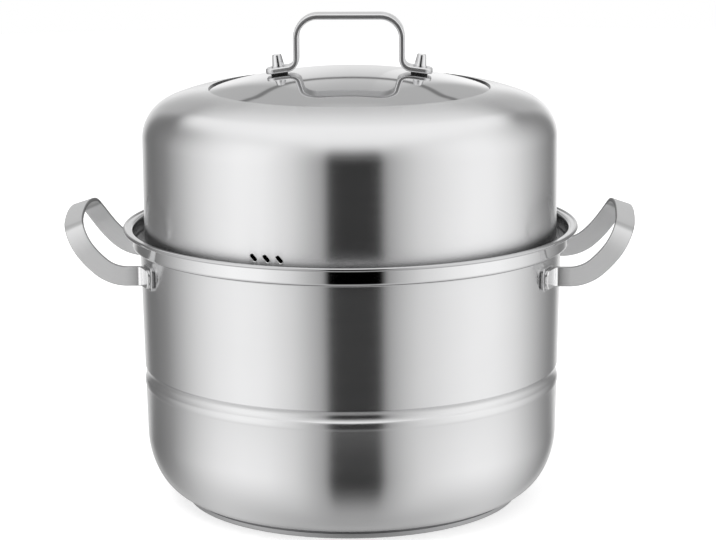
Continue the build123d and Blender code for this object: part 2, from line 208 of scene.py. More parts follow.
walls = add_ramp(room, turn, room_round)
ceiling_edge = add_ramp(room, turn, [(angle, up / 90) for angle, up in ceiling_round])
above_edge = add_math(room, "SUBTRACT", height, add_math(room, "MULTIPLY", ceiling_edge, 90))
facing = add_math(room, "COSINE", around)
rear = add_fade(room, facing, *rear_fade)
front = add_fade(room, facing, *front_fade)

# Between the walls and the ceiling light lies a dimmer gap, which starts lower at the rear.
behind = add_fade(room, facing, *behind_fade)
gap_start = add_mix(room, behind, rear_gap_start, behind_gap_start)
gap_start = add_mix(room, rear, side_gap_start, gap_start)
gap_fade = add_mix(room, behind, rear_gap_fade, behind_gap_fade)
from_start = add_math(room, "SUBTRACT", height, gap_start)
gap = add_fade(room, add_math(room, "DIVIDE", from_start, gap_fade), 0, 1)
gap_light = add_mix(room, front, side_gap_light, front_gap_light)
walls = add_mix(room, gap, walls, add_mix(room, rear, gap_light, rear_gap_light))
seam_rise = add_mix(room, add_fade(room, facing, *seam_turn_fade), corner_seam, behind_seam)
from_seam = add_math(room, "ABSOLUTE", add_math(room, "SUBTRACT", height, seam_rise))
seam = add_math(room, "MULTIPLY", rear, add_fade(room, from_seam, *seam_width))
walls = add_mix(room, seam, walls, seam_light)

# The ceiling light begins softly in front and more sharply at the rear.
blur = add_mix(room, add_fade(room, facing, *blur_fade), ceiling_blur, rear_ceiling_blur)
ceiling_share = add_fade(room, add_math(room, "DIVIDE", above_edge, blur), -1, 1)
side_light = add_mix(room, ceiling_share, walls, ceiling_light)

# The table is brightest far away, and dim where the camera's side shades it.
table_light = add_mix(room, add_fade(room, height, *near_fade), table_far, table_near)
table_light = add_mix(room, front, table_light, table_front)
table_edge = add_mix(room, front, rear_table_edge, front_table_edge)
below_edge = add_math(room, "SUBTRACT", height, table_edge)
room_light = add_mix(room, add_fade(room, below_edge, 0, table_blur), side_light, table_light)

# Straight behind the pot the table ends in a dark strip, which outlines the round corners.
strip = add_math(
    room, "MULTIPLY", add_fade(room, height, *strip_above), add_fade(room, height, *strip_below))
strip = add_math(room, "MULTIPLY", strip, add_fade(room, facing, *strip_fade))
room_light = add_mix(room, strip, room_light, strip_light)
print("room nodes", len(room.nodes))

# %% Show white to the camera and a plain level to matt surfaces
path = room.nodes.new("ShaderNodeLightPath")
plain_light = 0.85
seen = add_mix(room, path.outputs["Is Glossy Ray"], plain_light, room_light)
seen = add_mix(room, path.outputs["Is Camera Ray"], seen, 1.0)
background = room.nodes.new("ShaderNodeBackground")
output = room.nodes.new("ShaderNodeOutputWorld")
room.links.new(seen, background.inputs["Color"])
room.links.new(background.outputs[0], output.inputs["Surface"])

# %% Lay the table
table_grey, table_glow, table_radius = 0.8, 0.53, 3.0

bpy.ops.object.select_all(action="DESELECT")
bpy.ops.mesh.primitive_circle_add(
    vertices=96, radius=table_radius, fill_type="NGON", location=(0, 0, 0))
table = bpy.context.object
table.name = "table"
table.visible_glossy = False
white = bpy.data.materials.new("white_table")
white.use_nodes = True
nodes, links = white.node_tree.nodes, white.node_tree.links
nodes.clear()
matt = nodes.new("ShaderNodeBsdfDiffuse")
matt.inputs["Color"].default_value = (table_grey, table_grey, table_grey, 1)
glow = nodes.new("ShaderNodeEmission")
glow.inputs["Strength"].default_value = table_glow
both = nodes.new("ShaderNodeAddShader")
end = nodes.new("ShaderNodeOutputMaterial")
chooser = nodes.new("ShaderNodeMixShader")
view_path = nodes.new("ShaderNodeLightPath")
links.new(matt.outputs[0], both.inputs[0])
links.new(glow.outputs[0], both.inputs[1])
links.new(view_path.outputs["Is Camera Ray"], chooser.inputs[0])
links.new(matt.outputs[0], chooser.inputs[1])
links.new(both.outputs[0], chooser.inputs[2])
links.new(chooser.outputs[0], end.inputs["Surface"])
table.data.materials.append(white)

# %% Hang one soft lamp over the table for its shadow
lamp_place, lamp_size, lamp_power = (-0.5, -0.6, 1.6), 1.2, 6

bpy.ops.object.light_add(type="AREA", location=lamp_place)
lamp = bpy.context.object
lamp.data.shape = "DISK"
lamp.data.size = lamp_size
lamp.data.energy = lamp_power
lamp.rotation_mode = "QUATERNION"
lamp.rotation_quaternion = lamp.location.to_track_quat("Z", "Y")
lamp.visible_glossy = False
lamp.visible_camera = False

# %% [markdown]
# ## Brushed and polished steel
#
# Steel gets its brushed look from fine scratches, all in one direction. On a spun pot
# they run round the axis. Two things show them: the highlight is drawn out across the
# scratches, which the shader's Anisotropic value does, and single scratches glint, which
# is fine noise that is stretched along them. A group holds the noise, because every turned
# or polished steel here uses it.
#
# The noise reads where a point lies round the axis as a point on a circle, so it has no
# seam, and its height and its distance from the axis as two more values, so it works on
# walls, floors and everything between.

# %% Make the scratch group
scratches = bpy.data.node_groups.new("turned_scratches", "ShaderNodeTree")
for name in ("Scale", "Streak Length", "Contrast"):
    scratches.interface.new_socket(name, in_out="INPUT", socket_type="NodeSocketFloat")
scratches.interface.new_socket("Scratch", in_out="OUTPUT", socket_type="NodeSocketFloat")
scratches.interface.new_socket("Cloud", in_out="OUTPUT", socket_type="NodeSocketFloat")
given = scratches.nodes.new("NodeGroupInput")
result = scratches.nodes.new("NodeGroupOutput")
place = scratches.nodes.new("ShaderNodeTexCoord").outputs["Object"]
split = scratches.nodes.new("ShaderNodeSeparateXYZ")
scratches.links.new(place, split.inputs[0])
x, y, z = split.outputs
squares = [add_math(scratches, "MULTIPLY", value, value) for value in (x, y)]
far = add_math(scratches, "SQRT", add_math(scratches, "ADD", *squares))
safe = add_math(scratches, "MAXIMUM", far, 0.001)
circle = scratches.nodes.new("ShaderNodeCombineXYZ")
turn_scale = add_math(scratches, "DIVIDE", 1.0, given.outputs["Streak Length"])
for place_number, value in enumerate((x, y)):
    share = add_math(scratches, "DIVIDE", value, safe)
    scaled = add_math(scratches, "MULTIPLY", share, turn_scale)
    scratches.links.new(scaled, circle.inputs[place_number])
scratches.links.new(add_math(scratches, "MULTIPLY", z, given.outputs["Scale"]), circle.inputs[2])
fine = scratches.nodes.new("ShaderNodeTexNoise")
fine.noise_dimensions = "4D"
scratches.links.new(circle.outputs[0], fine.inputs["Vector"])
scratches.links.new(add_math(scratches, "MULTIPLY", far, given.outputs["Scale"]), fine.inputs["W"])
fine.inputs["Scale"].default_value = 1.0
fine.inputs["Detail"].default_value = 3.0
fine.inputs["Roughness"].default_value = 0.65
centred = add_math(scratches, "SUBTRACT", fine.outputs["Fac"], 0.5)
scaled = add_math(scratches, "MULTIPLY", centred, given.outputs["Contrast"])
scratches.links.new(add_math(scratches, "ADD", scaled, 0.5, clamp=True), result.inputs["Scratch"])
cloud = scratches.nodes.new("ShaderNodeTexNoise")
cloud.inputs["Scale"].default_value = 14.0
cloud.inputs["Detail"].default_value = 2.0
scratches.links.new(place, cloud.inputs["Vector"])
scratches.links.new(cloud.outputs["Fac"], result.inputs["Cloud"])
print("scratch group nodes", len(scratches.nodes))


# %% Share what all finishes need
def new_finish(name):
    """Starts a material and returns it with its node tree and its shader."""
    material = bpy.data.materials.new(name)
    material.use_nodes = True
    return material, material.node_tree, material.node_tree.nodes["Principled BSDF"]


def make_brushed_metal(shader, anisotropy):
    """Makes a shader a metal whose highlights are drawn out across the brushing."""
    shader.inputs["Metallic"].default_value = 1.0
    shader.inputs["Anisotropic"].default_value = anisotropy
    shader.inputs["Anisotropic Rotation"].default_value = 0.25


def vary_roughness(tree, shader, amount, roughness, spread):
    """Lets an amount from 0 to 1 vary the roughness by the spread to both sides."""
    rough = tree.nodes.new("ShaderNodeMapRange")
    tree.links.new(amount, rough.inputs["Value"])
    rough.inputs["To Min"].default_value = roughness - spread
    rough.inputs["To Max"].default_value = roughness + spread
    tree.links.new(rough.outputs[0], shader.inputs["Roughness"])


def vary_colour(tree, shader, amount, dark, light):
    """Lets an amount from 0 to 1 lead from the dark to the light tone of a colour."""
    tint = tree.nodes.new("ShaderNodeMix")
    tint.data_type = "RGBA"
    tree.links.new(amount, tint.inputs["Factor"])
    tint.inputs["A"].default_value = (*dark, 1)
    tint.inputs["B"].default_value = (*light, 1)
    tree.links.new(tint.outputs["Result"], shader.inputs["Base Color"])


def around_colour(colour, share):
    """A darker and a lighter tone of a colour, a share away from it."""
    return [(1 - share) * c for c in colour], [min(1, (1 + share) * c) for c in colour]


def raise_surface(tree, shader, amount, strength, depth):
    """Lets an amount from 0 to 1 raise the surface by up to depth, in metres."""
    relief = tree.nodes.new("ShaderNodeBump")
    relief.inputs["Strength"].default_value = strength
    relief.inputs["Distance"].default_value = depth
    tree.links.new(amount, relief.inputs["Height"])
    tree.links.new(relief.outputs[0], shader.inputs["Normal"])


# %% Make the turned steels
scratch_scale, streak_length, scratch_contrast, scratch_depth = 2600.0, 0.35, 1.6, 0.00002


def turned_steel(name, colour, roughness, spread, bump, anisotropy):
    """A steel that was brushed or polished on a lathe: scratches run round the axis."""
    material, tree, shader = new_finish(name)
    make_brushed_metal(shader, anisotropy)
    group = tree.nodes.new("ShaderNodeGroup")
    group.node_tree = scratches
    group.inputs["Scale"].default_value = scratch_scale
    group.inputs["Streak Length"].default_value = streak_length
    group.inputs["Contrast"].default_value = scratch_contrast
    scratch, cloud = group.outputs
    vary_roughness(tree, shader, scratch, roughness, spread)
    vary_colour(tree, shader, cloud, *around_colour(colour, 0.03))
    raise_surface(tree, shader, scratch, bump, scratch_depth)
    if anisotropy:
        tangent = tree.nodes.new("ShaderNodeTangent")
        tangent.direction_type = "RADIAL"
        tangent.axis = "Z"
        tree.links.new(tangent.outputs[0], shader.inputs["Tangent"])
    return material


# Colour, roughness and how far it varies, strength of the relief, and anisotropy.
steel_colour = (0.775, 0.775, 0.78)
satin_steel = turned_steel("satin_steel", steel_colour, 0.245, 0.03, 0.10, 0.95)
mirror_steel = turned_steel("mirror_steel", steel_colour, 0.07, 0.02, 0.03, 0.0)
disc_steel = turned_steel("disc_steel", steel_colour, 0.06, 0.015, 0.02, 0.0)
nut_steel = turned_steel("nut_steel", steel_colour, 0.17, 0.03, 0.05, 0.0)
pad_steel = turned_steel("pad_steel", steel_colour, 0.24, 0.04, 0.08, 0.0)
# The step in the pot's mouth and round the lid's disc lies in the shade of the lid and the ring:
# this dark steel is painted shade there.
ledge_painted_shade = turned_steel("ledge_painted_shade", (0.13, 0.13, 0.133), 0.22, 0.03, 0.05, 0.0)
rim_steel = turned_steel("rim_steel", (0.60, 0.60, 0.605), 0.11, 0.03, 0.04, 0.0)
cap_steel = turned_steel("cap_steel", (0.50, 0.50, 0.505), 0.58, 0.06, 0.10, 0.0)
# The seam between the cap and the body is in shade: this dark steel is painted shade there.
seam_painted_shade = turned_steel("seam_painted_shade", (0.22, 0.22, 0.225), 0.58, 0.06, 0.10, 0.0)
core_metal = turned_steel("core_metal", (0.80, 0.80, 0.81), 0.38, 0.05, 0.20, 0.6)
print("steels", satin_steel.name, mirror_steel.name, disc_steel.name, nut_steel.name)

# %% [markdown]
# The straps were brushed along their length before they were bent, so their scratches
# have to follow the bends. A pattern in Object coordinates can't do that, but the UV map
# of each strap can: U runs across it and V along it, and the noise is drawn out along V.
# The side handles are dull and gather light from far to both sides, so they stay evenly
# pale. The lid's handle is polished more finely.


# %% Make the strap steels
brush_scale, strap_relief = (90.0, 16.0, 1.0), 0.08


def strap_finish(name, colour, roughness, spread, anisotropy):
    """A steel that was brushed along a strap, whose UV map runs along it with V."""
    material, tree, shader = new_finish(name)
    make_brushed_metal(shader, anisotropy)
    uv = tree.nodes.new("ShaderNodeUVMap")
    uv.name = "UV Map"
    uv.uv_map = "UVMap"
    stretch = tree.nodes.new("ShaderNodeMapping")
    stretch.inputs["Scale"].default_value = brush_scale
    tree.links.new(uv.outputs[0], stretch.inputs["Vector"])
    brushing = tree.nodes.new("ShaderNodeTexNoise")
    brushing.inputs["Scale"].default_value = 1.0
    brushing.inputs["Detail"].default_value = 3.0
    tree.links.new(stretch.outputs[0], brushing.inputs["Vector"])
    vary_roughness(tree, shader, brushing.outputs["Fac"], roughness, spread)
    vary_colour(tree, shader, brushing.outputs["Fac"], *around_colour(colour, 0.07))
    raise_surface(tree, shader, brushing.outputs["Fac"], strap_relief, scratch_depth)
    tangent = tree.nodes.new("ShaderNodeTangent")
    tangent.direction_type = "UV_MAP"
    tangent.uv_map = "UVMap"
    tree.links.new(tangent.outputs[0], shader.inputs["Tangent"])
    return material


def darken(material, amount, share):
    """Multiplies a material's base colour by a share where the amount is 1."""
    tree = material.node_tree
    shader = tree.nodes["Principled BSDF"]
    colour = shader.inputs["Base Color"].links[0].from_socket
    layer = tree.nodes.new("ShaderNodeMix")
    layer.data_type = "RGBA"
    layer.blend_type = "MULTIPLY"
    tree.links.new(amount, layer.inputs["Factor"])
    tree.links.new(colour, layer.inputs["A"])
    layer.inputs["B"].default_value = (share, share, share, 1)
    tree.links.new(layer.outputs["Result"], shader.inputs["Base Color"])


grip_steel = strap_finish("grip_steel", (0.95, 0.95, 0.955), 0.70, 0.05, 0.45)
bar_steel = strap_finish("bar_steel", (0.76, 0.76, 0.765), 0.33, 0.04, 0.3)

# %% [markdown]
# The side handles get painted shade in three places. The edges, where U is near 0 or 1,
# are darkened as painted shade for their rounding. The crossbar, around the middle of V,
# is darkened as painted shade, and a darker painted line of shade crosses the strap at
# the corner's crease. The feet are smoother: they were ground after they had been welded on.

# %% Paint shade on the side handles and smooth their feet
# From where to where each mark fades in, as a distance from the middle of U or V.
edge_fade, bar_fade, foot_fade = (0.44, 0.5), (0.115, 0.085), (0.395, 0.42)
fold_place, fold_fade = 0.097, (0.012, 0.002)
# How much colour each painted shade keeps on the edges, the crossbar and the fold line, and the
# roughness of the ground feet.
edge_shade, bar_shade, fold_shade, ground_roughness = 0.5, 0.68, 0.8, 0.2

tree = grip_steel.node_tree
split = tree.nodes.new("ShaderNodeSeparateXYZ")
tree.links.new(tree.nodes["UV Map"].outputs[0], split.inputs[0])
from_middle, from_bar = (
    add_math(tree, "ABSOLUTE", add_math(tree, "SUBTRACT", value, 0.5))
    for value in split.outputs[:2])
from_fold = add_math(tree, "ABSOLUTE", add_math(tree, "SUBTRACT", from_bar, fold_place))
# Painted shade: the edges, the crossbar and the fold line are darkened in the base colour.
darken(grip_steel, add_fade(tree, from_middle, *edge_fade), edge_shade)
darken(grip_steel, add_fade(tree, from_bar, *bar_fade), bar_shade)
darken(grip_steel, add_fade(tree, from_fold, *fold_fade), fold_shade)
roughness = tree.nodes["Principled BSDF"].inputs["Roughness"]
brushed = roughness.links[0].from_socket
in_foot = add_fade(tree, from_bar, *foot_fade)
tree.links.new(add_mix(tree, in_foot, brushed, ground_roughness), roughness)
print("strap steels", grip_steel.name, bar_steel.name)

# %% [markdown]
# ## Turned pieces
#
# The lid is spun over a form on a lathe, and the deep drawn body is trimmed and polished
# on one. In Blender each is one outline that is spun round the axis. The outline runs up
# the outside and down the inside, so the spun shell has its sheet thickness at once. Each
# rounding is an arc of short straight edges.


# %% Draw outlines
def arc(centre, radius, start, finish, steps):
    """Points on an arc from one angle to another, in degrees from +X."""
    turns = [radians(start + (finish - start) * step / steps) for step in range(steps + 1)]
    return [(centre[0] + radius * cos(turn), centre[1] + radius * sin(turn)) for turn in turns]


def rounded(points, radii, steps=7):
    """Replaces the inner corners of a line of points by arcs with the given radii."""
    line = [points[0]]
    for before, corner, after, radius in zip(points, points[1:], points[2:], radii):
        to_before = (Vector(before) - Vector(corner)).normalized()
        to_after = (Vector(after) - Vector(corner)).normalized()
        half = to_before.angle(to_after) / 2
        if radius == 0 or half > pi / 2 - 0.001:
            line.append(corner)
            continue
        middle = Vector(corner) + (to_before + to_after).normalized() * radius / sin(half)
        first = Vector(corner) + to_before * radius / tan(half) - middle
        last = Vector(corner) + to_after * radius / tan(half) - middle
        start = atan2(first.y, first.x)
        sweep = (atan2(last.y, last.x) - start + pi) % (2 * pi) - pi
        line += arc(middle, radius, degrees(start), degrees(start + sweep), steps)
    return line + [points[-1]]


# %% Spin outlines
merge_distance = 0.000004


def turned_piece(name, outline, steps=240):
    """Spins a closed outline, given in millimetres, into a shell."""
    bpy.ops.object.select_all(action="DESELECT")
    bpy.ops.mesh.primitive_plane_add(size=0.001, location=(0, 0, 0))
    piece = bpy.context.object
    piece.name = name
    bpy.ops.object.mode_set(mode="EDIT")
    bpy.ops.mesh.select_mode(type="VERT")
    bpy.ops.mesh.select_all(action="SELECT")
    bpy.ops.mesh.merge(type="CENTER")
    bpy.ops.transform.translate(value=(outline[0][0] / 1000, 0, outline[0][1] / 1000))
    for here, there in zip(outline, outline[1:]):
        step = ((there[0] - here[0]) / 1000, 0, (there[1] - here[1]) / 1000)
        bpy.ops.mesh.extrude_vertices_move(TRANSFORM_OT_translate={"value": step})
    bpy.ops.mesh.select_all(action="SELECT")
    bpy.ops.mesh.spin(steps=steps, angle=2 * pi, center=(0, 0, 0), axis=(0, 0, 1))
    bpy.ops.mesh.select_all(action="SELECT")
    bpy.ops.mesh.remove_doubles(threshold=merge_distance)
    bpy.ops.mesh.normals_make_consistent(inside=False)
    bpy.ops.object.mode_set(mode="OBJECT")
    bpy.ops.object.shade_smooth_by_angle(angle=radians(32))
    print(name, len(piece.data.polygons), "faces")
    return piece


# %% [markdown]
# ## The pot body
#
# The body is one deep drawn shell. From the base up it has a large soft corner, a wall
# that leans out by about one degree, a bead at mid height that carries the tray inside,
# and the stepped mouth: a flat step for the lid, a short band, and a lip that rolls out.

# %% Measure the wall
mouth_height, step_height = 199.5, 185.6
wall_top, lean = 151.2, tan(radians(1.15))
sheet = 1.0
corner_run, corner_rise, base_height = 32.4, 46.2, 4.6
corner_top = base_height + corner_rise
wall_low = wall_top - (step_height - corner_top) * lean
base_steps = 28
bead_height, bead_half, bead_depth = 94.5, 4.3, 2.0
swell_length, swell_depth = 6.0, 0.5
lip_centre, lip_roll, lip_run, lip_turn = (162.0, 198.2), 1.3, 1.2, 157.4
band_radius, band_top = 157.0, 197.7
step_bend, band_bend = 1.6, 2.4


def wall(height):
    """Outer radius of the wall at a height."""
    return wall_top - (step_height - height) * lean


def bow(start, through, finish, steps):
    """Points on the flat bow from start to finish whose middle is at through."""
    start, finish = Vector(start), Vector(finish)
    rise = Vector(through) - (start + finish) / 2
    line = []
    for share in (step / steps for step in range(1, steps + 1)):
        line.append(tuple(start.lerp(finish, share) + rise * (1 - (2 * share - 1) ** 2)))
    return line


# %% Draw the pot body's outline
def pot_side(inset):
    """The wall from the floor's edge to the lip, moved inwards by the inset."""
    low, high = bead_height - bead_half, bead_height + bead_half
    swell = low - swell_length
    corner_start = wall_low - corner_run
    line = [(corner_start, base_height + inset)]
    for step in range(1, base_steps + 1):
        turn = pi / 2 * step / base_steps
        across, rise = (corner_run - inset) * sin(turn), (corner_rise - inset) * cos(turn)
        line.append((corner_start + across, corner_top - rise))
    line.append((wall(swell) - inset, swell))
    middle = swell + swell_length / 2
    line += bow(line[-1], (wall(middle) + swell_depth - inset, middle), (wall(low) - inset, low), 6)
    bead_bottom = wall(bead_height) - bead_depth - inset
    line += bow(line[-1], (bead_bottom, bead_height), (wall(high) - inset, high), 14)
    mouth = [
        line[-1],
        (wall_top - inset, step_height + inset),
        (band_radius - inset, step_height + inset),
        (band_radius - inset, band_top + inset),
        (lip_centre[0] - lip_run, band_top + inset),
    ]
    inner_bend, outer_bend = step_bend + inset, band_bend - inset
    return line[:-1] + rounded(mouth, (inner_bend, outer_bend, inner_bend))


pot_line = [(0, base_height)] + pot_side(0)
pot_line += arc(lip_centre, lip_roll, -lip_turn, lip_turn, 22)[1:]
pot_line += pot_side(sheet)[::-1][1:] + [(0, base_height + sheet)]
pot = turned_piece("pot_body_turned", pot_line)


# %% [markdown]
# The bead, the band and the lip are polished, and the rest is brushed. The step behind
# the lid is in its shade, which a dark steel paints in. They are four materials on one
# mesh: each face gets the one that its place calls for.


# %% Assign the finishes
def finish_faces(piece, materials, choose=lambda place: 0):
    """Gives each face the material whose number choose(centre) returns, or the first."""
    for material in materials:
        piece.data.materials.append(material)
    for face in piece.data.polygons:
        face.material_index = choose(face.center * 1000)


# The small margins keep the faces of a rounding with the flat beside it.
def pot_finish(place):
    """Polishes the bead and the mouth, paints shade on the step and gives the lip its own steel."""
    outside = place.xy.length > wall(place.z) - 0.5 * sheet or place.z > step_height
    if place.z > step_height + 0.5 and wall_top - 2.5 < place.xy.length < band_radius - 0.5:
        return 2
    if place.z > band_top - 0.3:
        return 3
    if place.z > step_height - 0.4:
        return 1
    return 1 if abs(place.z - bead_height) < bead_half and outside else 0


finish_faces(pot, (satin_steel, mirror_steel, ledge_painted_shade, rim_steel), pot_finish)
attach(pot, "pot")
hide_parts("pot_body")

# %% [markdown]
# ## The base cap
#
# A thin cap holds an aluminium disc under the floor, so that the pot heats evenly. Its
# edge shows as a narrow, duller ring under the body with a dark seam above it, and four
# shallow grooves keep it flat. The seam's darkness is painted shade: a dark steel on the
# recessed faces under the body.

# %% Turn the base cap
cap_radius, cap_sheet, cap_rounding = 120.994, 0.7, 1.2
seam_height, seam_depth = 3.5, 0.35
groove_spacing, groove_depth, groove_half, groove_floor = 20, 0.3, 0.8, 0.6
cap_line = [(0, 0.0)]
for middle in range(groove_spacing, 5 * groove_spacing, groove_spacing):
    cap_line += [
        (middle - groove_half, 0),
        (middle - groove_floor, groove_depth),
        (middle + groove_floor, groove_depth),
        (middle + groove_half, 0),
    ]
edge = [(cap_radius - 6, 0), (cap_radius, 0), (cap_radius, seam_height)]
cap_line += rounded(edge, (cap_rounding,))
cap_line += [
    (cap_radius - seam_depth, seam_height + 0.2),
    (cap_radius - seam_depth, base_height),
    (cap_radius - cap_sheet, base_height),
    (cap_radius - cap_sheet, cap_sheet),
    (0, cap_sheet),
]
cap = turned_piece("base_cap_turned", cap_line)
# The faces above the seam's height get the seam's painted shade.
finish_faces(cap, (cap_steel, seam_painted_shade), lambda place: 1 if place.z > seam_height else 0)
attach(cap, "pot")
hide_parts("base_cap")

# %% [markdown]
# ## The lid
#
# The lid is a second spun shell. Its wall rises straight from a small foot that stands on
# the step in the mouth, turns through a soft shoulder and a flatter crown, and ends in a
# fine ring. Inside the ring lies a domed disc that is sunk by a millimetre and polished.
# The shoulder and the crown are two arcs, and the crown's centre lies where they meet
# without a kink.

# %% Draw the lid's outline
lid_sheet, lid_radius, foot_radius, foot_height = 0.9, 148.1, 154.9, 186.9
shoulder_height, shoulder_radius, shoulder_turn, crown_radius = 263.0, 28.7, 68.9, 127.0
foot_bends, ring_radius = (0.8, 0.4, 0.4), 100.5
shoulder_x = lid_radius - shoulder_radius
crown_x = shoulder_x + (shoulder_radius - crown_radius) * cos(radians(shoulder_turn))
crown_z = shoulder_height + (shoulder_radius - crown_radius) * sin(radians(shoulder_turn))
ring_height = crown_z + sqrt(crown_radius**2 - (ring_radius - crown_x) ** 2)
ring_step, disc_drop = 0.25, 1.1
disc_radius, disc_rise = ring_radius - lid_sheet, 14.3
disc_edge = ring_height - disc_drop
dome_radius = (disc_radius**2 + disc_rise**2) / (2 * disc_rise)
dome_centre = disc_edge + disc_rise - dome_radius


def lid_side(inset, edge_radius):
    """The lid from its shoulder over the ring to the top of the disc."""
    crown_run = max(ring_radius, edge_radius) - crown_x
    crown_turn = degrees(acos(crown_run / (crown_radius - inset)))
    line = arc((shoulder_x, shoulder_height), shoulder_radius - inset, 0, shoulder_turn, 24)
    line += arc((crown_x, crown_z), crown_radius - inset, shoulder_turn, crown_turn, 12)[1:]
    edge_turn = degrees(acos(edge_radius / (dome_radius - inset)))
    line += arc((0, dome_centre), dome_radius - inset, edge_turn, 90, 14)
    return line


lid_line = lid_side(0, ring_radius - ring_step)[::-1]
foot = [
    (lid_radius, shoulder_height),
    (lid_radius, foot_height + lid_sheet),
    (foot_radius, foot_height + lid_sheet),
    (foot_radius, foot_height),
    (lid_radius - lid_sheet, foot_height),
]
lid_line = lid_line[:-1] + rounded(foot, foot_bends)
lid_line += lid_side(lid_sheet, ring_radius + 2 * ring_step)
lid = turned_piece("lid_shell_turned", lid_line)

# %% [markdown]
# Three slanted slots in the front of the wall let the steam out. Their sharp edges are
# taken off and polished. One cutter has the shape of one slot: a block whose ends are
# rounded by a bevel, and whose outer face is extruded once more and flared. Three of them
# are joined and cut out with one Boolean modifier, because each further cut through the
# same faces can go wrong.

# %% Model a slot's cutter
slot_height, slot_length, slot_width, slot_slant = 201.0, 5.8, 2.7, 48
slot_depth, slot_end = 8.0, 0.999 * slot_width / 2
edge_width, edge_depth, cutter_reach = 0.35, 0.286, 0.5


def pick(piece, kind, chosen):
    """Selects the edges or faces of a piece for which chosen(element) is true."""
    bpy.ops.object.mode_set(mode="EDIT")
    bpy.ops.mesh.select_mode(type=kind)
    bpy.ops.mesh.select_all(action="DESELECT")
    bpy.ops.object.mode_set(mode="OBJECT")
    for element in piece.data.edges if kind == "EDGE" else piece.data.polygons:
        element.select = chosen(element)
    bpy.ops.object.mode_set(mode="EDIT")


def slot_cutter():
    """A block with round ends, flared where it leaves the wall, whose outside is at X = 0."""
    bpy.ops.object.select_all(action="DESELECT")
    inside = (-(edge_depth + slot_depth / 2) / 1000, 0, 0)
    bpy.ops.mesh.primitive_cube_add(size=0.001, location=inside)
    cutter = bpy.context.object
    cutter.scale = (slot_depth, slot_length, slot_width)
    bpy.ops.object.transform_apply(location=True, rotation=False, scale=True)
    points = cutter.data.vertices

    def runs_inwards(edge):
        ends = [points[number].co.x for number in edge.vertices]
        return abs(ends[0] - ends[1]) > 0.001

    pick(cutter, "EDGE", runs_inwards)
    bpy.ops.mesh.bevel(offset=slot_end / 1000, segments=8, affect="EDGES")
    bpy.ops.mesh.select_all(action="SELECT")
    bpy.ops.mesh.remove_doubles(threshold=merge_distance)
    pick(cutter, "FACE", lambda face: face.normal.x > 0.9)
    outwards = ((edge_depth + cutter_reach) / 1000, 0, 0)
    bpy.ops.mesh.extrude_region_move(TRANSFORM_OT_translate={"value": outwards})
    bpy.ops.object.mode_set(mode="OBJECT")
    flare = edge_width / edge_depth * (edge_depth + cutter_reach) / 1000
    for point in points:
        if point.co.x > 0:
            centre = copysign(slot_length / 2 - slot_end, point.co.y) / 1000
            point.co += flare * Vector((0, point.co.y - centre, point.co.z)).normalized()
    return cutter


# %% Cut the steam slots
slots_middle, slot_spacing = -90 - 20.1, 3.65
cutters = []
for step in (-1, 0, 1):
    turn = radians(slots_middle + step * slot_spacing)
    cutter = slot_cutter()
    cutter.rotation_euler = (radians(-slot_slant), 0, 0)
    bpy.ops.object.transform_apply(location=False, rotation=True, scale=False)
    cutter.rotation_euler = (0, 0, turn)
    cutter.location = Vector((lid_radius * cos(turn), lid_radius * sin(turn), slot_height)) / 1000
    bpy.ops.object.transform_apply(location=True, rotation=True, scale=False)
    cutters.append(cutter)
for cutter in cutters:
    cutter.select_set(True)
bpy.ops.object.join()
cutters = bpy.context.object

bpy.ops.object.select_all(action="DESELECT")
lid.select_set(True)
bpy.context.view_layer.objects.active = lid
cut = lid.modifiers.new("slots", "BOOLEAN")
cut.operation = "DIFFERENCE"
cut.object = cutters
cut.solver = "EXACT"
bpy.ops.object.modifier_apply(modifier=cut.name)
bpy.data.objects.remove(cutters)
print("lid faces after the slots", len(lid.data.polygons))


# %% Finish the lid
def lid_finish(place):
    """Polishes the disc and the edges of the slots, and paints shade on the step round the disc."""
    if place.xy.length < ring_radius - ring_step and place.z > disc_edge - 0.4:
        return 1
    in_step = ring_radius - ring_step < place.xy.length < ring_radius
    if in_step and disc_edge - 0.1 < place.z < ring_height:
        return 3
    in_wall = lid_radius - lid_sheet + 0.03 < place.xy.length < lid_radius - 0.03
    return 2 if in_wall and abs(place.z - slot_height) < slot_length else 0


finish_faces(lid, (satin_steel, disc_steel, mirror_steel, ledge_painted_shade), lid_finish)
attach(lid, "lid")
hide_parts("lid_shell")

# %% [markdown]
# ## Straps
#
# All three handles are flat steel straps that were bent cold. A strap starts as a long
# narrow grid, one face wide. Each row of its points is moved to a place on the strap's
# middle line and set out to both sides in the direction of the width, so the strap can't
# twist. A Solidify modifier gives it its thickness, a bevel rounds its ends, and a Bevel
# modifier softens its long edges. The grid's UV map stays with it: V runs along the
# strap, which the brushed finish needs.


# %% Bend a strap
def bent_strap(name, path, across, width, thickness, end_rounding, edge_rounding):
    """A flat strap, made from its middle line and, at each point, the way its width lies."""
    bpy.ops.object.select_all(action="DESELECT")
    rows = len(path) - 1
    bpy.ops.mesh.primitive_grid_add(
        x_subdivisions=1, y_subdivisions=rows, size=1, location=(0, 0, 0))
    strap = bpy.context.object
    strap.name = name
    for vertex in strap.data.vertices:
        row = round((vertex.co.y + 0.5) * rows)
        half = width / 2 if vertex.co.x > 0 else -width / 2
        vertex.co = (Vector(path[row]) + Vector(across[row]) * half) / 1000
    thick = strap.modifiers.new("thickness", "SOLIDIFY")
    thick.thickness = thickness / 1000
    thick.offset = 0
    thick.use_even_offset = True
    bpy.ops.object.modifier_apply(modifier=thick.name)
    round_strap(strap, path, thickness, end_rounding, edge_rounding)
    return strap


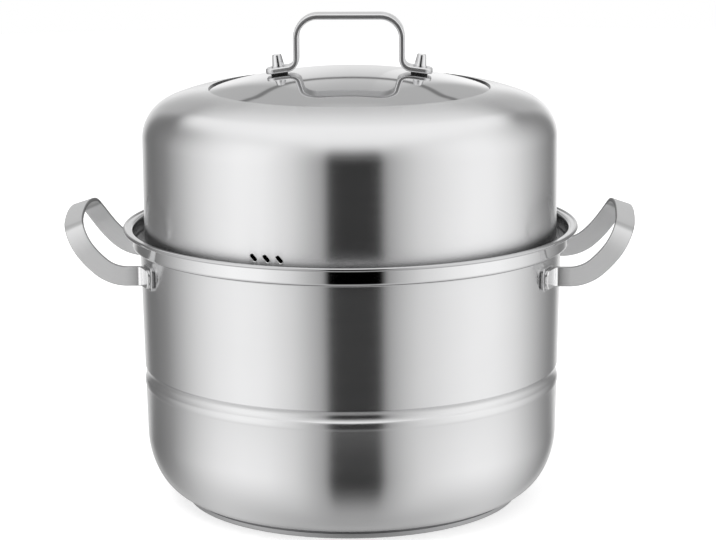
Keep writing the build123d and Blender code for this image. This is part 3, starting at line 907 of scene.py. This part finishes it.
def round_strap(strap, path, thickness, end_rounding, edge_rounding):
    """Rounds the two ends of a strap and softens all its edges."""
    mesh = strap.data
    bpy.ops.object.mode_set(mode="EDIT")
    bpy.ops.mesh.select_all(action="SELECT")
    bpy.ops.mesh.remove_doubles(threshold=merge_distance)
    bpy.ops.mesh.normals_make_consistent(inside=False)
    bpy.ops.object.mode_set(mode="OBJECT")
    ends = []
    for last, before in ((path[0], path[1]), (path[-1], path[-2])):
        ends.append((Vector(last) / 1000, (Vector(last) - Vector(before)).normalized()))

    def is_end_corner(edge):
        a, b = (mesh.vertices[number].co for number in edge.vertices)
        middle = (a + b) / 2
        at_end = any(
            (middle - end).length < 0.02 and abs((middle - end).dot(aim)) < 0.0001
            for end, aim in ends)
        return at_end and abs((a - b).length - thickness / 1000) < 0.00005

    pick(strap, "EDGE", is_end_corner)
    bpy.ops.mesh.bevel(offset=end_rounding / 1000, segments=8, affect="EDGES")
    bpy.ops.object.mode_set(mode="OBJECT")
    soft = strap.modifiers.new("soft_edges", "BEVEL")
    soft.width = edge_rounding / 1000
    soft.segments = 4
    soft.limit_method = "ANGLE"
    soft.angle_limit = radians(40)
    bpy.ops.object.modifier_apply(modifier=soft.name)
    bpy.ops.object.shade_smooth_by_angle(angle=radians(38))
    flat = strap.modifiers.new("flat_faces", "WEIGHTED_NORMAL")
    flat.keep_sharp = True
    bpy.ops.object.modifier_apply(modifier=flat.name)
    print(strap.name, len(mesh.polygons), "faces")


# %% [markdown]
# ## The lid's handle
#
# The strap's two feet lie on spacers on the dome. From each foot it bends up into a leg,
# and both legs turn inwards to the bar across the top.

# %% Bend the lid's handle
strap_thickness, strap_width, leg_offset = 4.0, 18.0, 37.6
strap_end_rounding, strap_edge_rounding = 6.0, 1.25
foot_bend, top_bend, foot_reach = 7, 15.4, 9.2
spacer_height, washer_height = 1.2, 0.8
handle_rise, bolt_from_leg = 39.6, 12.1
handle_top = dome_centre + dome_radius + handle_rise
bolt_offset = leg_offset + bolt_from_leg
bolt_tilt = asin(bolt_offset / dome_radius)
bolt_height = dome_centre + sqrt(dome_radius**2 - bolt_offset**2)


def above_dome(lift):
    """X and Z of a point on the right bolt's line, at this distance from the dome."""
    return bolt_offset + lift * sin(bolt_tilt), bolt_height + lift * cos(bolt_tilt)


foot_x, foot_z = above_dome(spacer_height + strap_thickness / 2)
half = [
    (foot_x + foot_reach * cos(bolt_tilt), foot_z - foot_reach * sin(bolt_tilt)),
    (leg_offset, foot_z + (foot_x - leg_offset) * tan(bolt_tilt)),
    (leg_offset, handle_top - strap_thickness / 2),
]
corners = half + [(-x, z) for x, z in half[::-1]]
handle_line = [
    (x, 0, z) for x, z in rounded(corners, (foot_bend, top_bend, top_bend, foot_bend), 14)]
lid_handle = bent_strap(
    "lid_handle_strap", handle_line, [(0, 1, 0)] * len(handle_line), strap_width, strap_thickness,
    strap_end_rounding, strap_edge_rounding)
finish_faces(lid_handle, (bar_steel,))
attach(lid_handle, "lid")
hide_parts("lid_handle")

# %% [markdown]
# ## The side handles
#
# Each side handle is one strap on edge. From its foot on the wall it leaves straight
# outwards, curves upwards in two bends, and turns round the corner into the crossbar. The
# path follows the middle line of the CAD solid: a curve in the upright plane, met by a
# U in the tilted plane of the crossbar. The crossbar bows outwards by nearly 9 mm, which
# fits a palm.

# %% Find the side handle's path
grip_breadth, grip_thickness, leg_y = 14.0, 2.8, 52.8
grip_end_rounding, grip_edge_rounding = 5.5, 0.9
grip_drop, straight_run = 28.8, 4.3
grip_height = mouth_height - grip_drop
straight_end = wall(grip_height) + straight_run
lower_radius, upper_radius = 29.2, 71.0
lower_turn, final_turn = radians(40.5), radians(74)
pad_height, grip_foot_bend, grip_foot_inner, grip_foot_outer = 1.6, 4.6, 7.0, 9.5


def on_circle(centre, radius, turn):
    """Point of a circle in the upright plane, turned by this much from its lowest point."""
    return centre[0] + radius * sin(turn), centre[1] - radius * cos(turn)


lower_centre = (straight_end, grip_height + lower_radius)
lower_end = on_circle(lower_centre, lower_radius, lower_turn)
upper_centre = on_circle(lower_end, -upper_radius, lower_turn)
grip_end = on_circle(upper_centre, upper_radius, final_turn)
foot_distance = wall(grip_height) + pad_height + grip_thickness / 2
foot_turn = asin((leg_y + grip_foot_inner) / foot_distance)


def on_band(turn):
    """Point of the band's middle line after it has turned by this much."""
    if turn <= lower_turn:
        return on_circle(lower_centre, lower_radius, turn)
    return on_circle(upper_centre, upper_radius, turn)


def below_top(place):
    """How far a point lies below the top edge, in the tilted plane."""
    return (grip_end[0] - place[0]) * cos(final_turn) + (grip_end[1] - place[1]) * sin(final_turn)


corner_radius, bar_depth, bar_bow = 22.8, grip_thickness / 2, 8.7
bar_radius = (leg_y**2 + bar_bow**2) / (2 * bar_bow)
bar_turn = asin((leg_y - corner_radius) / (bar_radius - corner_radius))
corner_depth = bar_depth + bar_radius - (bar_radius - corner_radius) * cos(bar_turn)


def turn_at_depth(depth):
    """The turn at which the band's middle line lies this deep, found by halving."""
    low, high = 0.0, final_turn
    for _ in range(40):
        middle = (low + high) / 2
        low, high = (middle, high) if below_top(on_band(middle)) > depth else (low, middle)
    return low


print("corner starts after", round(degrees(turn_at_depth(corner_depth)), 1), "degrees")


# %% Bend the side handles
leg_steps, corner_steps, bar_steps = 28, 14, 8


def along_foot(along):
    """X and Y of a point of the rear foot, this far along it from its middle."""
    return (
        foot_distance * cos(foot_turn) - along * sin(foot_turn),
        foot_distance * sin(foot_turn) + along * cos(foot_turn),
    )


def side_handle_path(side):
    """The strap's middle line from foot to foot, and the way its width lies at each point."""
    entry = along_foot(-grip_foot_inner / cos(foot_turn))
    foot = [along_foot(grip_foot_outer), entry, (straight_end, leg_y)]
    half = [((x, y, grip_height), 0) for x, y in rounded(foot, (grip_foot_bend,), 10)]
    stations = [
        (leg_y, turn_at_depth(corner_depth) * step / leg_steps) for step in range(1, leg_steps + 1)]
    for step in range(1, corner_steps + 1):
        angle = (pi / 2 - bar_turn) * step / corner_steps
        depth = corner_depth - corner_radius * sin(angle)
        stations.append((leg_y - corner_radius * (1 - cos(angle)), turn_at_depth(depth)))
    for step in range(1, bar_steps + 1):
        angle = bar_turn * (1 - step / bar_steps)
        depth = bar_depth + bar_radius * (1 - cos(angle))
        stations.append((bar_radius * sin(angle), turn_at_depth(depth)))
    for y, turn in stations:
        x, z = on_band(turn)
        half.append(((x, y, z), turn))
    whole = [((x, -y, z), turn) for (x, y, z), turn in half] + half[-2::-1]
    path = [(side * x, y, z) for (x, y, z), turn in whole]
    across = [(side * sin(turn), 0, -cos(turn)) for place, turn in whole]
    return path, across


for side, name in ((1, "right"), (-1, "left")):
    grip_path, grip_across = side_handle_path(side)
    grip = bent_strap(
        f"side_handle_{name}_strap", grip_path, grip_across, grip_breadth, grip_thickness,
        grip_end_rounding, grip_edge_rounding)
    finish_faces(grip, (grip_steel,))
    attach(grip, "pot")
    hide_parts(f"side_handle_{name}")

# %% [markdown]
# ## Nuts
#
# Two cap nuts hold the lid's handle. Each is a small turned cone with a flat, softly
# rounded top, stands square on the dome, and so leans outwards by about eight degrees.

# %% Turn the nuts
nut_height, nut_top, nut_foot, nut_rounding = 8.0, 3.15, 4.3, 0.9
nut_line = [(0, nut_height), (nut_top, nut_height), (nut_foot, 0.0), (0, 0.0)]
nut_line = rounded(nut_line, (nut_rounding, 0.0), 8)
nut_x, nut_z = above_dome(spacer_height + strap_thickness + washer_height)
for side, name in ((-1, "left"), (1, "right")):
    nut = turned_piece(f"lid_nut_{name}_turned", nut_line, 64)
    nut.rotation_euler = (0, side * bolt_tilt, 0)
    nut.location = (side * nut_x / 1000, 0, nut_z / 1000)
    bpy.ops.object.transform_apply(location=True, rotation=True, scale=False)
    finish_faces(nut, (nut_steel,))
    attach(nut, "lid")
    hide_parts(f"lid_nut_{name}")
    print(name, "nut", [round(1000 * size, 2) for size in nut.dimensions])

# %% [markdown]
# ## Pieces kept from the CAD model
#
# The tray is a flat plate with holes, the core disc is hidden, and the pads, weld plugs,
# spacers, washers, bolts and seals are small and plain. Their CAD meshes already have the
# right shape, so they only need their materials.


# %% Make the rubbers
def soft_rubber(name, light, dark, roughness):
    """Moulded rubber: slightly cloudy, with a fine grain that catches the light."""
    material, tree, shader = new_finish(name)
    place = tree.nodes.new("ShaderNodeTexCoord").outputs["Object"]
    masks = []
    for scale in (220.0, 2400.0):
        noise = tree.nodes.new("ShaderNodeTexNoise")
        noise.inputs["Scale"].default_value = scale
        tree.links.new(place, noise.inputs["Vector"])
        masks.append(noise.outputs["Fac"])
    clouds, grain = masks
    vary_colour(tree, shader, clouds, dark, light)
    vary_roughness(tree, shader, grain, roughness, 0.08)
    raise_surface(tree, shader, grain, 0.25, 0.00003)
    return material


seal_rubber = soft_rubber("seal_rubber", (0.84, 0.84, 0.82), (0.76, 0.76, 0.74), 0.5)
# The spacers are rubber, and their near-black colour also paints the shadow in the gap under the
# handle's feet.
gasket_rubber = soft_rubber(
    "gasket_rubber", (0.026, 0.026, 0.026), (0.014, 0.014, 0.014), 0.55)
print("rubbers", seal_rubber.name, gasket_rubber.name)

# %% Dress the kept pieces
kept = {
    "handle_pads_left": pad_steel, "handle_pads_right": pad_steel,
    "handle_welds_left": pad_steel, "handle_welds_right": pad_steel,
    "base_core_disc": core_metal, "steamer_tray": satin_steel,
}
for side in ("left", "right"):
    kept[f"lid_seal_{side}"] = seal_rubber
    # The spacers get the near-black rubber that also paints the shadow under the handle's feet.
    kept[f"lid_spacer_{side}"] = gasket_rubber
    for kind in ("washer", "bolt"):
        kept[f"lid_{kind}_{side}"] = mirror_steel
for name, material in kept.items():
    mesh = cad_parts[name].data
    mesh.materials.clear()
    mesh.materials.append(material)
print("kept pieces", len(kept))
